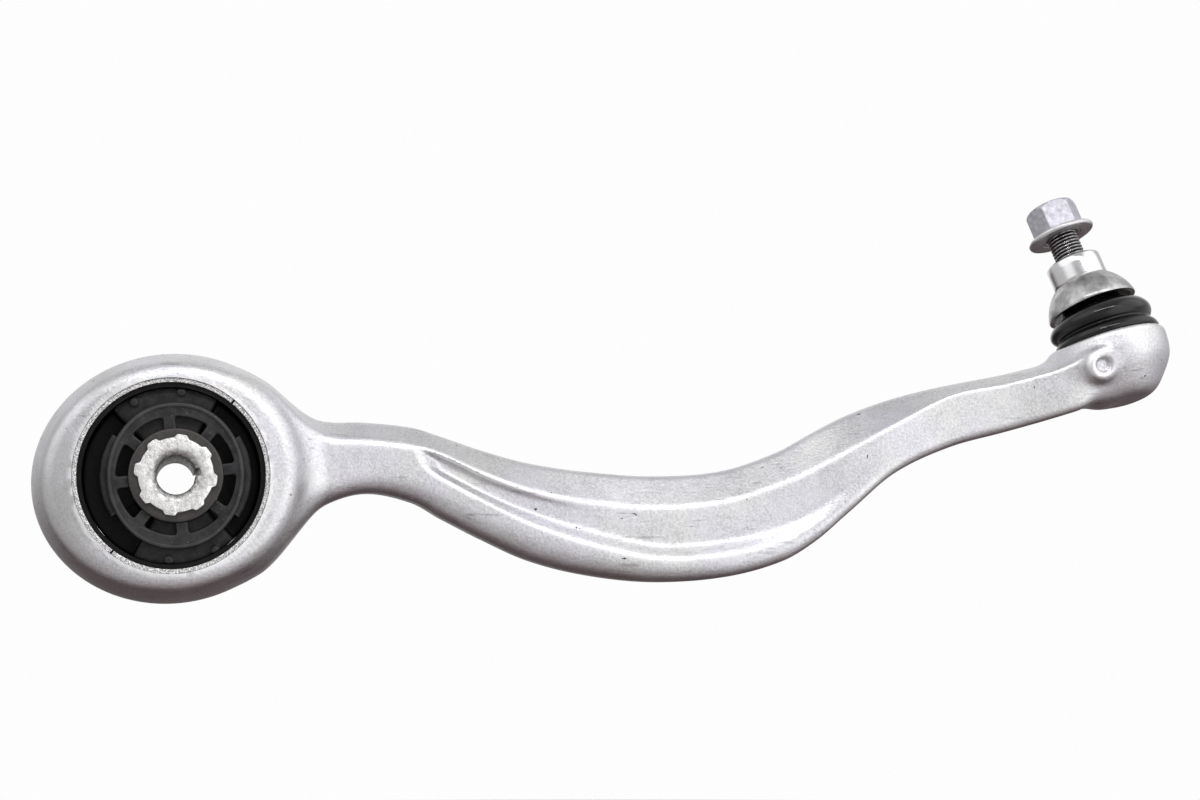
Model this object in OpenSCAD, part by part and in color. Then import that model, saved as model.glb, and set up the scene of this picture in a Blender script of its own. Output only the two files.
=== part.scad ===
// Forged suspension control arm (thrust arm) with a hydraulic bush at one end and a ball joint at the other.
// The origin is the centre of the bush's inner sleeve. +Y runs along the bush axis, +X towards the ball joint.

/* [Eye] */
// Half width of the eye's oval outline at the parting line
eye_rx = 58.3; // [56:0.1:61]
// Half height of the eye's oval outline at the parting line
eye_rz = 52.8; // [51:0.1:55]
// Width of the eye along the bush axis
eye_w = 56; // [54:1:60]
// Angle by which the oval's long axis rises towards the arm
eye_tilt = 10; // [0:1:15]
// How far the outline shrinks from the parting line to each face
eye_draft = 6.4; // [5:0.1:7]
// Radius of the eye's bore
eye_bore_r = 40.6; // [40.4:0.1:40.8]
// Offset of the eye's axis from the inner sleeve, taken up when the arm is loaded
preload_x = -1.8; // [-2:0.1:-1]

/* [Bush] */
// Radius of the bolt hole in the inner sleeve
sleeve_bore_r = 8; // [6:0.1:8.5]
// Length of the inner sleeve
sleeve_l = 66; // [64:1:72]
// Radius of the inner sleeve between its lobes
sleeve_r = 15.5; // [14:0.1:15.8]
// Radius over the inner sleeve's lobes
lobe_r = 17; // [16.5:0.1:17]
// Outer radius of the hub ring
hub_r = 19.4; // [19:0.1:19.8]
// Outer radius of the window disc, upwards and downwards
disc_r = 30.4; // [29.5:0.1:31]
// Half width of the window disc, to the sides
disc_rx = 28.2; // [27.5:0.1:28.5]
// Reach of the side bumpers from the sleeve's axis
bumper_r = 31.2; // [30.8:0.1:31.4]
// Outer radius of the rubber spring
rubber_r = 36.7; // [36:0.1:36.8]
// Thickness of the half shells pressed into the eye
shell_t = 1.95; // [1.8:0.05:2]

/* [Ball joint] */
// Radius of the ball
ball_r = 13.5; // [13:0.1:14]
// Radius of the stud's polished shank
shank_r = 12.5; // [12.3:0.1:12.9]
// Length of the stud's shank
shank_l = 10.8; // [9:0.1:11]
// Radius of the stud's thread
thread_r = 7; // [6:0.5:7]
// Length of the thread
thread_l = 27.4; // [26.5:0.1:28.5]
// Radius of the collar's rim
collar_r = 20.6; // [20.4:0.1:21]
// Height of the domed collar
collar_h = 13.2; // [13:0.1:14.6]
// Outer radius of the housing at its shoulder
housing_r = 25.6; // [25:0.1:26]

/* [Nut] */
// Width across the nut's flats
nut_af = 21; // [20:0.5:22]
// Height of the nut's hexagon
nut_h = 13.2; // [12:0.1:14]
// Radius of the nut's captive washer
washer_r = 15.4; // [14:0.1:16]
// Thread left bare between the washer and the shank
bare_thread = 12.1; // [11.8:0.1:12.4]
// Turn of the nut's corners on the stud, in degrees
nut_turn = 35; // [0:1:59]

/* [Hidden] */
$fn = 64;

aluminium = [0.76, 0.76, 0.78];
dark_aluminium = [0.62, 0.61, 0.6];
charcoal = [0.16, 0.16, 0.17];
rubber_black = [0.1, 0.1, 0.11];
steel = [0.7, 0.7, 0.72];
nylon = [0.85, 0.84, 0.78];

// Small gap between faces that only touch
gap = 0.05;

// Ball joint frame: ball centre, socket axis and the stud's resting axis
ball_at = [413, 0, 60.2];
socket_axis = [-0.225, 0.217, 0.95];
stud_axis = [-0.295, 0.27, 0.916];

// Heights along the stud, from the ball's centre
shank_top = 45.1;
collar_top = shank_top - shank_l;
collar_rim = collar_top - collar_h;
throat_r = 8;
neck_r = 9;
collar_seat_r = 11.5;
collar_t = 2.4;
nut_base = shank_top + bare_thread;
washer_h = 2.6;

// Heights along the socket, from the ball's centre
shoulder_z = 3.8;
spigot_r = 19.7;
spigot_top = 9.7;
cavity_r = 16.5;
cavity_floor = -15;
closing_ring_z = 7.4;
race_mouth_r = 12.4;
closing_ring_r = cavity_r + 1.6;

// Stations along the arm: distance from the bush, top edge, bottom edge, drop of the sloped top flank,
// half width, depth of the recess in each face, and where its lower wall starts and ends (0 at the
// crease, 1 at the bottom edge)
STATIONS = [
    [30, 40, -38.5, 2, 17, 0, 0.3, 0.4],
    [38, 37.5, -38, 2, 17, 0, 0.3, 0.4],
    [50, 29.5, -22, 4.5, 16, 0, 0.3, 0.4],
    [62, 25, -11.5, 7.2, 15, 0, 0.3, 0.4],
    [80, 24.6, -5.9, 8.3, 14.5, 0, 0.3, 0.4],
    [100, 22.6, -9.6, 8.6, 14.5, 0.4, 0.3, 0.4],
    [112, 19, -16.2, 8.8, 14.5, 2.6, 0.3, 0.42],
    [130, 13, -25.3, 11, 15, 4, 0.32, 0.45],
    [150, 7.7, -34.2, 12.4, 15.5, 4.4, 0.34, 0.52],
    [175, 4.2, -40.4, 13.7, 16, 4.4, 0.4, 0.62],
    [205, 2.5, -43.4, 14.3, 16, 4.4, 0.51, 0.73],
    [235, 5, -41.2, 13.8, 16, 4.2, 0.53, 0.75],
    [260, 13.5, -34.4, 14.4, 15.5, 3.4, 0.55, 0.8],
    [275, 21.7, -25.5, 16, 15.2, 2.4, 0.56, 0.82],
    [290, 29.4, -12.8, 15.3, 15, 1, 0.54, 0.82],
    [310, 36.9, 3.9, 11.6, 14.5, 0, 0.5, 0.8],
    [335, 43.5, 15.6, 5.2, 14, 0, 0.5, 0.8],
    [360, 48.5, 22.5, 4.8, 14.8, 0, 0.5, 0.8],
    [375, 52.2, 26.7, 4.5, 16.4, 0, 0.5, 0.8],
    [388, 55.6, 30.6, 4.2, 18.2, 0, 0.5, 0.8],
    [402, 58.5, 35, 4, 19, 0, 0.5, 0.8]
];
STATION_STEP = 9.3;

// Smooth curve through the stations: the value in column c at distance x
function span_at(x, i = 0) = i >= len(STATIONS) - 2 || x < STATIONS[i + 1][0] ? i : span_at(x, i + 1);
function slope(c, i) =
    let (a = STATIONS[max(i - 1, 0)], b = STATIONS[min(i + 1, len(STATIONS) - 1)]) (b[c] - a[c]) / (b[0] - a[0]);
function station(c, x) =
    let (
        i = span_at(x),
        p = STATIONS[i],
        q = STATIONS[i + 1],
        w = q[0] - p[0],
        t = (x - p[0]) / w
    )
    (2 * t ^ 3 - 3 * t ^ 2 + 1) * p[c] + (t ^ 3 - 2 * t ^ 2 + t) * w * slope(c, i)
    + (3 * t ^ 2 - 2 * t ^ 3) * q[c] + (t ^ 3 - t ^ 2) * w * slope(c, i + 1);

// One side of the arm's section at distance x, from the top edge to the bottom edge
function side_section(x) =
    let (
        top = station(1, x),
        bottom = station(2, x),
        flank = station(3, x),
        w = station(4, x),
        d = max(0, station(5, x)) - 0.3,
        crease = top - flank,
        face = crease - bottom,
        edge = min(9, 0.3 * face)
    )
    [
        [2.5, top - 0.4],
        [w - d - 1.8, crease + 1.9],
        [w - d, crease - 0.8],
        [w - d, crease - station(6, x) * face],
        [w - 0.2, crease - min(station(7, x), 1 - (edge + 0.4) / face) * face],
        [w - 0.8, bottom + edge * 0.75],
        [w - edge * 0.45, bottom + edge * 0.22],
        [w - edge * 1.1, bottom]
    ];
function reversed(v) = [for (i = [len(v) - 1:-1:0]) v[i]];
function section(x) =
    let (side = side_section(x))
    concat([for (p = side) [x, p[0], p[1]]], [for (p = reversed(side)) [x, -p[0], p[1]]]);

// A closed skin through rings of points that all have the same count
module skin(rings) {
    n = len(rings[0]);
    last = len(rings) - 1;
    points = [for (r = rings) for (p = r) p];
    sides = [
        for (i = [0:last - 1]) for (j = [0:n - 1])
            [i * n + j, i * n + (j + 1) % n, (i + 1) * n + (j + 1) % n, (i + 1) * n + j]
    ];
    ends = [[for (j = [n - 1:-1:0]) j], [for (j = [0:n - 1]) last * n + j]];
    polyhedron(points, concat(sides, ends), convexity = 6);
}

// Places its children on the ball with +Z along the given direction
module on_ball(direction) {
    translate(ball_at)
        rotate([0, acos(direction[2] / norm(direction)), atan2(direction[1], direction[0])])
            children();
}

// Turns its children so that +Z points along -Y, towards the front of the bush
module along_bush(x = 0) {
    translate([x, 0, 0]) rotate([90, 0, 0]) children();
}

// A flat wedge of the plane from angle a to angle b, less than a half turn
module wedge(a, b, reach = 90) {
    mid = (a + b) / 2;
    polygon([
        [0, 0],
        reach * [cos(a), sin(a)],
        reach * [cos((a + mid) / 2), sin((a + mid) / 2)],
        reach * [cos(mid), sin(mid)],
        reach * [cos((b + mid) / 2), sin((b + mid) / 2)],
        reach * [cos(b), sin(b)]
    ]);
}

// A tube along Z, centred on z = 0
module tube(outer, inner, length) {
    difference() {
        cylinder(r = outer, h = length, center = true);
        cylinder(r = inner, h = length + 2, center = true);
    }
}

// The eye's outer body: an oval drum that narrows towards both faces
module eye_drum() {
    half = eye_w / 2;
    steps = [
        [-half, eye_draft + 1.6], [-half + 0.6, eye_draft + 0.4], [-half + 2, eye_draft - 0.7],
        [-half * 0.5, eye_draft * 0.38], [0, 0], [half * 0.5, eye_draft * 0.38],
        [half - 2, eye_draft - 0.7], [half - 0.6, eye_draft + 0.4], [half, eye_draft + 1.6]
    ];
    along_x = [cos(eye_tilt), 0, sin(eye_tilt)];
    along_z = [-sin(eye_tilt), 0, cos(eye_tilt)];
    skin([
        for (s = steps) [
            for (a = [0:7.5:352.5])
                [preload_x, s[0], 0] + (eye_rx - s[1]) * cos(a) * along_x + (eye_rz - s[1]) * sin(a) * along_z
        ]
    ]);
}

// The housing's solid of revolution around the socket axis
module housing_body() {
    rotate_extrude()
        polygon([
            [0, -24], [11, -24], [14, -23], [21.2, -14], [24.2, -9], [25.3, -5], [housing_r, -1],
            [housing_r, shoulder_z - 1.8], [housing_r - 0.6, shoulder_z - 0.5], [housing_r - 1.6, shoulder_z],
            [spigot_r, shoulder_z], [spigot_r, spigot_top], [0, spigot_top]
        ]);
}

module arm_forging() {
    boss_at = [400.9, -24.7, 51.6];
    color(aluminium)
    difference() {
        union() {
            eye_drum();
            skin([for (x = [STATIONS[0][0]:STATION_STEP:402]) section(x)]);
            on_ball(socket_axis) housing_body();
            translate(boss_at) rotate([-90, 0, 8]) cylinder(r = 6.6, h = 14);
        }
        along_bush(preload_x) cylinder(r = eye_bore_r, h = eye_w + 20, center = true);
        on_ball(socket_axis) translate([0, 0, cavity_floor]) cylinder(r = cavity_r, h = 40);
        on_ball(socket_axis) translate([0, 0, closing_ring_z]) cylinder(r = closing_ring_r, h = 5);
        translate(boss_at) rotate([-90, 0, 8]) translate([0, 0, -1]) cylinder(r = 3.2, h = 3);
    }
}

slit_angles = [51, 233];
slit_w = 0.9;

// Half of a tube in the eye, upper or lower, split at the two slits
module half_ring(outer, inner, length, upper) {
    a = upper ? slit_angles[0] : slit_angles[1];
    b = upper ? slit_angles[1] : slit_angles[0] + 360;
    trim = asin(slit_w / 2 / outer);
    along_bush(preload_x)
        linear_extrude(length, center = true)
            intersection() {
                difference() {
                    circle(outer);
                    circle(inner);
                }
                union() {
                    wedge(a + trim, (a + b) / 2 + 1);
                    wedge((a + b) / 2 - 1, b - trim);
                }
            }
}

shell_outer = eye_bore_r - gap;
shell_inner = eye_bore_r - shell_t;
shell_l = eye_w - 1.6;
module bush_half_shell_upper() { color(aluminium) half_ring(shell_outer, shell_inner, shell_l, true); }
module bush_half_shell_lower() { color(aluminium) half_ring(shell_outer, shell_inner, shell_l, false); }

cage_l = eye_w - 4;
cage_outer = shell_inner - gap;
cage_waist_r = rubber_r + 0.85;
track_l = 40;
module fluid_track_upper() { color(charcoal) half_ring(cage_outer, cage_waist_r + gap, track_l - 0.4, true); }
module fluid_track_lower() { color(charcoal) half_ring(cage_outer, cage_waist_r + gap, track_l - 0.4, false); }

module bush_window_cage() {
    window_h = 24;
    color(charcoal)
    difference() {
        along_bush(preload_x)
            difference() {
                cylinder(r = cage_outer, h = cage_l, center = true);
                cylinder(r = rubber_r + gap, h = cage_l + 2, center = true);
                tube(cage_outer + 1, cage_waist_r, track_l);
            }
        for (side = [-1, 1])
            translate([side * 40, 0, 0]) cube([20, window_h, 36], center = true);
    }
}

leg_top = [62, 134];
leg_bottom = [243, 315];
knob_angles = [86.8, 119.8, 266, 298.5];
knob_at = 34.9;
rubber_l = 48;
module bush_rubber_spring() {
    membrane_y = 14;
    color(rubber_black)
    difference() {
        union() {
            along_bush(preload_x)
                for (leg = [leg_top, leg_bottom])
                    linear_extrude(rubber_l, center = true)
                        intersection() {
                            circle(rubber_r - gap);
                            translate([-preload_x, 0]) wedge(leg[0], leg[1]);
                        }
            // thin walls that close the fluid chambers at both ends
            for (y = [-membrane_y, membrane_y])
                translate([0, y, 0]) along_bush(preload_x) cylinder(r = rubber_r - gap, h = 2, center = true);
            for (a = knob_angles)
                along_bush()
                    intersection() {
                        translate([knob_at * cos(a), knob_at * sin(a), 0])
                            cylinder(r = 2, h = rubber_l + 2.4, center = true);
                        translate([preload_x, 0, 0])
                            cylinder(r = rubber_r - gap, h = rubber_l + 4, center = true);
                    }
        }
        along_bush() cylinder(r = hub_r + gap, h = eye_w, center = true);
    }
}

bumper_l = 49;
bumper_t = 9;
bumper_web_t = 2.5;
bumper_pad_r = 25.4;
// A sector of a ring across the bush, with its middle at y
module ring_sector(inner, outer, y, thickness, a, b) {
    translate([0, y, 0])
        along_bush()
            linear_extrude(thickness, center = true)
                intersection() {
                    difference() {
                        circle(outer);
                        circle(inner);
                    }
                    wedge(a, b);
                }
}
// One bumper in front of the chamber wall and one behind it: a pad carried by a thin web on the hub
module bumper(a, b) {
    pad_y = (bumper_l - bumper_t) / 2;
    web_y = bumper_l / 2 - bumper_t + bumper_web_t / 2;
    for (side = [-1, 1]) {
        ring_sector(bumper_pad_r, bumper_r, side * pad_y, bumper_t, a, b);
        ring_sector(hub_r + gap, bumper_pad_r + 1, side * web_y, bumper_web_t, a, b);
    }
}
module bush_bumper_inboard() { color(charcoal) bumper(145, 215); }
module bush_bumper_outboard() { color(charcoal) bumper(-35, 35); }

// Outline of the inner sleeve, with eight lobes, grown by a small margin
lobe_start = -8;
lobe_w = 5.4;
module lobed_outline(margin) {
    circle(sleeve_r + margin);
    for (i = [0:7])
        rotate(lobe_start + 45 * i)
            translate([0, -lobe_w / 2 - margin]) square([lobe_r + margin, lobe_w + 2 * margin]);
}

module bush_hub_ring() {
    color([0.3, 0.28, 0.27])
    along_bush()
        linear_extrude(sleeve_l - 4, center = true)
            difference() {
                circle(hub_r);
                lobed_outline(gap);
            }
}

module bush_inner_sleeve() {
    color(dark_aluminium)
    along_bush()
        linear_extrude(sleeve_l, center = true)
            difference() {
                lobed_outline(0);
                circle(sleeve_bore_r);
                rotate(9) translate([sleeve_bore_r + 0.9, 0]) circle(1.5);
            }
}

disc_t = 3;
disc_y = bumper_l / 2 + 0.1 + disc_t / 2;
window_in = hub_r;
spoke_start = 7.5;
window_out = 24.6;
spoke_w = 4.8;
module window_disc(side) {
    flat_r = 34;
    shift = flat_r - disc_rx;
    color(charcoal)
    translate([0, side * disc_y, 0])
        along_bush()
            linear_extrude(disc_t, center = true)
                difference() {
                    intersection() {
                        circle(disc_r);
                        translate([shift, 0]) circle(flat_r);
                        translate([-shift, 0]) circle(flat_r);
                    }
                    circle(hub_r + gap);
                    difference() {
                        circle(window_out);
                        circle(window_in);
                        for (i = [0:7])
                            rotate(spoke_start + 45 * i) translate([0, -spoke_w / 2]) square([40, spoke_w]);
                    }
                }
}
module window_disc_front() { window_disc(-1); }
module window_disc_rear() { window_disc(1); }

module ball_race() {
    color(nylon)
    on_ball(socket_axis)
        difference() {
            translate([0, 0, cavity_floor + gap])
                cylinder(r = cavity_r - gap, h = closing_ring_z - gap - (cavity_floor + gap));
            sphere(ball_r + gap);
            // the mouth flares to leave room for the stud at full swing
            translate([0, 0, 4]) cylinder(r1 = race_mouth_r, r2 = race_mouth_r + 3, h = 4.6);
            translate([0, 0, -20]) cylinder(r = 4, h = 20);
        }
}

module socket_closing_ring() {
    color(steel)
    on_ball(socket_axis)
        translate([0, 0, (closing_ring_z + spigot_top) / 2])
            tube(closing_ring_r - gap, 14.6, spigot_top - closing_ring_z - 0.2);
}

module ball_stud() {
    color(steel)
    on_ball(stud_axis)
        difference() {
            union() {
                sphere(ball_r);
                rotate_extrude()
                    polygon([
                        [0, 0], [throat_r, 0], [throat_r, 17], [neck_r, 19.5], [neck_r, 26.5],
                        [collar_seat_r, 32], [collar_seat_r, collar_top],
                        [shank_r, collar_top], [shank_r, shank_top - 0.7], [shank_r - 0.7, shank_top],
                        [thread_r, shank_top], [thread_r, shank_top + thread_l - 1.2],
                        [thread_r - 1.2, shank_top + thread_l], [0, shank_top + thread_l]
                    ]);
            }
            translate([0, 0, shank_top + thread_l - 5]) cylinder(r = 3.5, h = 6, $fn = 6);
        }
}

module dome_collar() {
    centre_drop = (collar_h ^ 2 + shank_r ^ 2 - collar_r ^ 2) / (-2 * collar_h);
    dome_r = sqrt(collar_r ^ 2 + centre_drop ^ 2);
    color(steel)
    on_ball(stud_axis)
        difference() {
            intersection() {
                translate([0, 0, collar_rim - centre_drop]) sphere(dome_r);
                translate([0, 0, collar_rim]) cylinder(r = 30, h = collar_h);
            }
            translate([0, 0, collar_rim - centre_drop]) sphere(dome_r - collar_t);
            cylinder(r = collar_seat_r, h = 60);
        }
}

module boot_base_ring() {
    color(steel)
    on_ball(socket_axis)
        translate([0, 0, shoulder_z + 2.3]) tube(spigot_r + 1, spigot_r + gap, 3);
}

slide_ring_z = 23;
module boot_slide_ring() {
    color(nylon)
    on_ball(stud_axis)
        translate([0, 0, slide_ring_z]) tube(neck_r + 1.6, neck_r + 0.06, 4);
}

// The boot's wall as radius and height, up the outside and down the inside. The lean says how far each
// ring has turned from the socket axis (0) to the stud axis (1).
BOOT = [
    [23.3, 4.1, 0], [23.7, 5.4, 0], [23.1, 7.2, 0.05], [21.6, 8.6, 0.15], [21.2, 9.4, 0.22], [22.1, 10.4, 0.3],
    [23.1, 11.9, 0.42], [23.4, 13.6, 0.55], [22.7, 15.4, 0.68], [21.1, 17.2, 0.82], [18.4, 18.3, 0.93],
    [15.4, 19, 1], [13.4, 20.6, 1], [13, 25, 1], [10.75, 25, 1], [10.75, 18.9, 1], [14.4, 17.5, 1],
    [17.6, 16.8, 0.95], [19.7, 15.9, 0.85], [21, 14.7, 0.68], [21.5, 13.4, 0.55], [21.2, 12, 0.42],
    [20.5, 11, 0.3], [20.2, 10.3, 0.2], [20.2, 8.6, 0.05], [20.95, 8, 0], [20.95, 4.1, 0]
];
function unit(v) = v / norm(v);
function lean_axis(k) = unit((1 - k) * unit(socket_axis) + k * unit(stud_axis));
function boot_ring(k) =
    let (
        w = lean_axis(k),
        u = unit(cross([0, 1, 0], w)),
        v = cross(w, u)
    )
    [u, v, w];
module dust_boot() {
    n = 30;
    rings = len(BOOT);
    points = [
        for (b = BOOT)
            let (f = boot_ring(b[2]))
            for (j = [0:n - 1])
                ball_at + b[0] * (cos(360 * j / n) * f[0] + sin(360 * j / n) * f[1]) + b[1] * f[2]
    ];
    faces = [
        for (i = [0:rings - 1]) for (j = [0:n - 1])
            [i * n + j, ((i + 1) % rings) * n + j, ((i + 1) % rings) * n + (j + 1) % n, i * n + (j + 1) % n]
    ];
    color(rubber_black) polyhedron(points, faces, convexity = 6);
}

collar_inner_r = 9;
module nut_washer() {
    color(steel)
    on_ball(stud_axis)
        difference() {
            translate([0, 0, nut_base])
                rotate_extrude()
                    polygon([
                        [collar_inner_r + 0.08, 0], [washer_r - 0.8, 0], [washer_r, 0.7], [washer_r, 1.5],
                        [washer_r - 0.7, 2], [12.4, washer_h], [collar_inner_r + 0.08, washer_h]
                    ]);
        }
}

module hex_nut() {
    corner_r = nut_af / 2 / cos(30);
    color([0.72, 0.7, 0.75])
    on_ball(stud_axis)
        translate([0, 0, nut_base])
            difference() {
                union() {
                    intersection() {
                        translate([0, 0, washer_h + gap])
                            rotate(nut_turn) cylinder(r = corner_r, h = nut_h, $fn = 6);
                        translate([0, 0, washer_h + gap])
                            rotate_extrude()
                                polygon([
                                    [0, 0], [corner_r - 0.4, 0], [corner_r, 0.6], [corner_r, nut_h - 1.6],
                                    [corner_r - 1.8, nut_h], [0, nut_h]
                                ]);
                    }
                    translate([0, 0, 0.3]) cylinder(r = collar_inner_r, h = washer_h);
                }
                translate([0, 0, -1]) cylinder(r = thread_r + 0.05, h = nut_h + washer_h + 4);
            }
}

arm_forging();
bush_half_shell_upper();
bush_half_shell_lower();
bush_window_cage();
fluid_track_upper();
fluid_track_lower();
bush_rubber_spring();
bush_bumper_inboard();
bush_bumper_outboard();
bush_hub_ring();
bush_inner_sleeve();
window_disc_front();
window_disc_rear();
ball_race();
socket_closing_ring();
ball_stud();
dome_collar();
boot_base_ring();
dust_boot();
boot_slide_ring();
nut_washer();
hex_nut();
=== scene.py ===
# Forged suspension control arm: a hydraulic bush at the origin and a ball joint at +X.
# Shapes are worked out in millimetres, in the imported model's frame, and written in metres.
import math

import bpy
import bmesh
import numpy as np
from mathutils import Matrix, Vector


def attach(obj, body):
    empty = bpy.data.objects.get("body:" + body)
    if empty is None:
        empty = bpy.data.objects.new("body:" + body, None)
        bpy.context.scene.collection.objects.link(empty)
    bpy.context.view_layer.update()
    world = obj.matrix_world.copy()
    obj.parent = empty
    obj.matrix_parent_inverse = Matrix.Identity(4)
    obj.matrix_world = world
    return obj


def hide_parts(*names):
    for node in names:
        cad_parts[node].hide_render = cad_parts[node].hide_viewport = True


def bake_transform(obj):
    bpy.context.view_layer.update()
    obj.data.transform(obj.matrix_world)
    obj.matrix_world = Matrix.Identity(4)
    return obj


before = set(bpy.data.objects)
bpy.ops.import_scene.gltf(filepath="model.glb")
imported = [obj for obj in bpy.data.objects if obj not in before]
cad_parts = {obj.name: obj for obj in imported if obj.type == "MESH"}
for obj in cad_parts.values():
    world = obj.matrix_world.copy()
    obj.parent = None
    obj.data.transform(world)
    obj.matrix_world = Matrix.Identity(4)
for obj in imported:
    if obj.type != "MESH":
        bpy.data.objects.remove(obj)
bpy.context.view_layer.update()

MM = 0.001
TURN = 2 * math.pi

# Eye and bush
EYE_RX, EYE_RZ, EYE_HALF, EYE_TILT = 58.2, 52.7, 28.0, math.radians(10)
EYE_DRAFT = 5.7
BORE_R = 40.6
PRELOAD_X = -1.8
SLEEVE_HALF, SLEEVE_R, LOBE_R, LOBE_W = 33.0, 15.5, 17.0, 5.4
SLEEVE_BORE_R = 8.0
KEYWAY_R, KEYWAY_AT, KEYWAY_ANGLE = 1.5, 8.9, math.radians(9)
LOBE_START = math.radians(-8)
SPOKE_START = math.radians(7.5)
HUB_R, HUB_HALF = 19.4, 31.0
DISC_R, DISC_RX, DISC_FLAT_R, DISC_Y, DISC_T = 30.4, 28.2, 34.0, 26.1, 3.0
WINDOW_IN, WINDOW_OUT, SPOKE_W = 19.0, 24.6, 4.8
BUMPER_R, BUMPER_HALF, BUMPER_T, BUMPER_PAD_R, BUMPER_WEB_T = 31.2, 24.5, 9.0, 25.4, 2.5
BUMPER_SPREAD = 33                      # degrees to each side; part.scad's 35 would touch the legs in the twist
RUBBER_R, RUBBER_HALF, RUBBER_SEAM_R = 36.65, 24.0, 26.6
MEMBRANE_Y, MEMBRANE_T = 14.0, 2.0
LEG_SPANS = ((62, 134), (243, 313))      # degrees; the lower one ends at 315 in part.scad
LEG_DISHED_FROM, LEG_DISHING = 30, 0.02
KNOB_AT, KNOB_R = 34.9, 2.0
KNOBS = (86.8, 119.8, 266, 298.5)
SHELL_OUT, SHELL_IN, SHELL_HALF = 40.55, 38.65, 27.2
SLITS, SLIT_HALF = (51.0, 233.0), 0.6

# Ball joint: heights run along the stud or the socket from the ball's centre
BALL = np.array([413.0, 0.0, 60.2])
SOCKET_AXIS = np.array([-0.225, 0.217, 0.95])
STUD_AXIS = np.array([-0.295, 0.27, 0.916])
BALL_R = 13.5
SHANK_R, SHANK_TOP, SHANK_L = 12.5, 45.1, 10.8
THREAD_R, THREAD_L, THREAD_PITCH, THREAD_DEPTH = 7.0, 27.4, 1.5, 0.85
COLLAR_R, COLLAR_H, COLLAR_T, COLLAR_SEAT_R = 20.6, 13.2, 2.4, 11.5
NUT_BASE, WASHER_H, WASHER_R, WASHER_FACE_R, NUT_COLLAR_R = 57.2, 2.6, 15.4, 12.6, 9.0
NUT_AF, NUT_H, NUT_TURN = 21.0, 13.2, math.radians(35)

# Stations along the arm: distance from the bush, top edge, bottom edge, drop of the sloped top flank,
# half width, depth of the recess in each face, and where its lower wall starts and ends (0 at the
# crease, 1 at the bottom edge). They repeat part.scad's, with a crisper tip to the recess and a softer
# corner under the eye.
STATIONS = np.array([
    [30, 40, -37, 2, 17, 0, 0.3, 0.4],
    [38, 37.5, -34.2, 2, 17, 0, 0.3, 0.4],
    [50, 29.5, -21.2, 4.5, 16, 0, 0.3, 0.4],
    [62, 25, -11.5, 7.2, 15, 0, 0.3, 0.4],
    [80, 24.6, -5.9, 8.3, 14.5, 0, 0.3, 0.4],
    [100, 22.6, -9.6, 8.6, 14.5, 0, 0.3, 0.4],
    [112, 19, -16.2, 8.8, 14.5, 2.6, 0.3, 0.42],
    [130, 13, -25.3, 11, 15, 4, 0.32, 0.45],
    [150, 7.7, -34.2, 12.4, 15.5, 4.4, 0.34, 0.52],
    [175, 4.2, -40.4, 13.7, 16, 4.4, 0.4, 0.62],
    [205, 2.5, -43.4, 14.3, 16, 4.4, 0.51, 0.73],
    [235, 5, -41.2, 13.8, 16, 4.2, 0.53, 0.75],
    [260, 13.5, -34.4, 14.4, 15.5, 3.4, 0.55, 0.8],
    [275, 21.7, -25.5, 16, 15.2, 2.4, 0.56, 0.82],
    [290, 29.4, -12.8, 15.3, 15, 1, 0.54, 0.82],
    [310, 36.9, 3.9, 11.6, 14.5, 0, 0.5, 0.8],
    [335, 43.5, 15.6, 5.2, 14, 0, 0.5, 0.8],
    [360, 48.5, 22.5, 4.8, 14.8, 0, 0.5, 0.8],
    [375, 52.2, 26.7, 4.5, 16.4, 0, 0.5, 0.8],
    [388, 55.6, 30.6, 4.2, 18.2, 0, 0.5, 0.8],
    [402, 58.5, 35, 4, 19, 0, 0.5, 0.8],
])


# ---------------------------------------------------------------- placing and mesh building

def unit(v):
    return np.asarray(v, float) / np.linalg.norm(v)


def turned_to(axis):
    """Rotation that takes +Z to the axis by a turn about Y and then about Z, as part.scad does."""
    x, y, z = unit(axis)
    a, b = math.acos(z), math.atan2(y, x)
    about_y = np.array([[math.cos(a), 0, math.sin(a)], [0, 1, 0], [-math.sin(a), 0, math.cos(a)]])
    about_z = np.array([[math.cos(b), -math.sin(b), 0], [math.sin(b), math.cos(b), 0], [0, 0, 1]])
    return about_z @ about_y


SOCKET = (BALL, turned_to(SOCKET_AXIS))
STUD = (BALL, turned_to(STUD_AXIS))
FRONT = np.array([[1, 0, 0], [0, 0, -1], [0, 1, 0]], float)  # local +Z points along -Y
ON_SLEEVE = (np.zeros(3), FRONT)
ON_EYE = (np.array([PRELOAD_X, 0, 0]), FRONT)


def placed(points, place):
    origin, turn = place
    return np.asarray(points, float) @ turn.T + origin


def mesh_object(name, points, faces, sharp=40):
    """A smooth-shaded object from points in millimetres, with normals facing out and edges over `sharp`
    degrees kept crisp."""
    mesh = bpy.data.meshes.new(name)
    mesh.from_pydata((np.asarray(points) * MM).tolist(), [], [tuple(map(int, f)) for f in faces])
    work = bmesh.new()
    work.from_mesh(mesh)
    bmesh.ops.remove_doubles(work, verts=work.verts, dist=1e-7)
    bmesh.ops.recalc_face_normals(work, faces=work.faces)
    work.to_mesh(mesh)
    work.free()
    mesh.polygons.foreach_set("use_smooth", [True] * len(mesh.polygons))
    mesh.set_sharp_from_angle(angle=math.radians(sharp))
    obj = bpy.data.objects.new(name, mesh)
    bpy.context.scene.collection.objects.link(obj)
    return obj


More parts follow.
